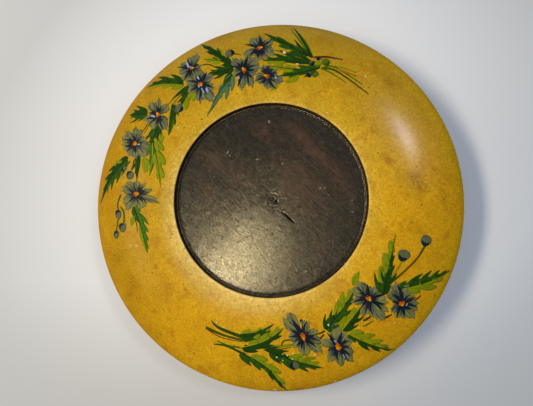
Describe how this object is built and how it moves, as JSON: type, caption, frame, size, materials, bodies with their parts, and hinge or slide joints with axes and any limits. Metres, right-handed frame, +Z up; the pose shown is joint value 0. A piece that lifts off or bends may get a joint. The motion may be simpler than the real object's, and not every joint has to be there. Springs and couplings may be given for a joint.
{
  "type": "painted wooden plate",
  "caption": "Turned wooden plate: a wide domed rim painted with flower sprays round a dark recessed panel, standing on a pegged foot ring.",
  "frame": {"origin": "on the plate's axis, at the surface that the foot ring stands on", "axes": "+Z up along the turning axis, out of the painted face; +Y towards the top of the design as it is usually seen"},
  "size_m": [0.34, 0.34, 0.053],
  "materials": {
    "painted_rim": "ochre oil paint under an aged satin varnish, mottled, crackled and worn at the edges",
    "dark_panel": "dark stained, turned and waxed wood with worn reddish patches and fine scratches",
    "foot_wood": "brown stained turned wood",
    "peg_wood": "plain end grain, slightly polished"
  },
  "bodies": {
    "root": {"rim": "painted_rim", "centre_panel": "dark_panel", "foot_ring": "foot_wood", "foot_peg_1": "peg_wood", "foot_peg_2": "peg_wood", "foot_peg_3": "peg_wood", "foot_peg_4": "peg_wood", "foot_peg_5": "peg_wood", "foot_peg_6": "peg_wood"}
  },
  "joints": []
}
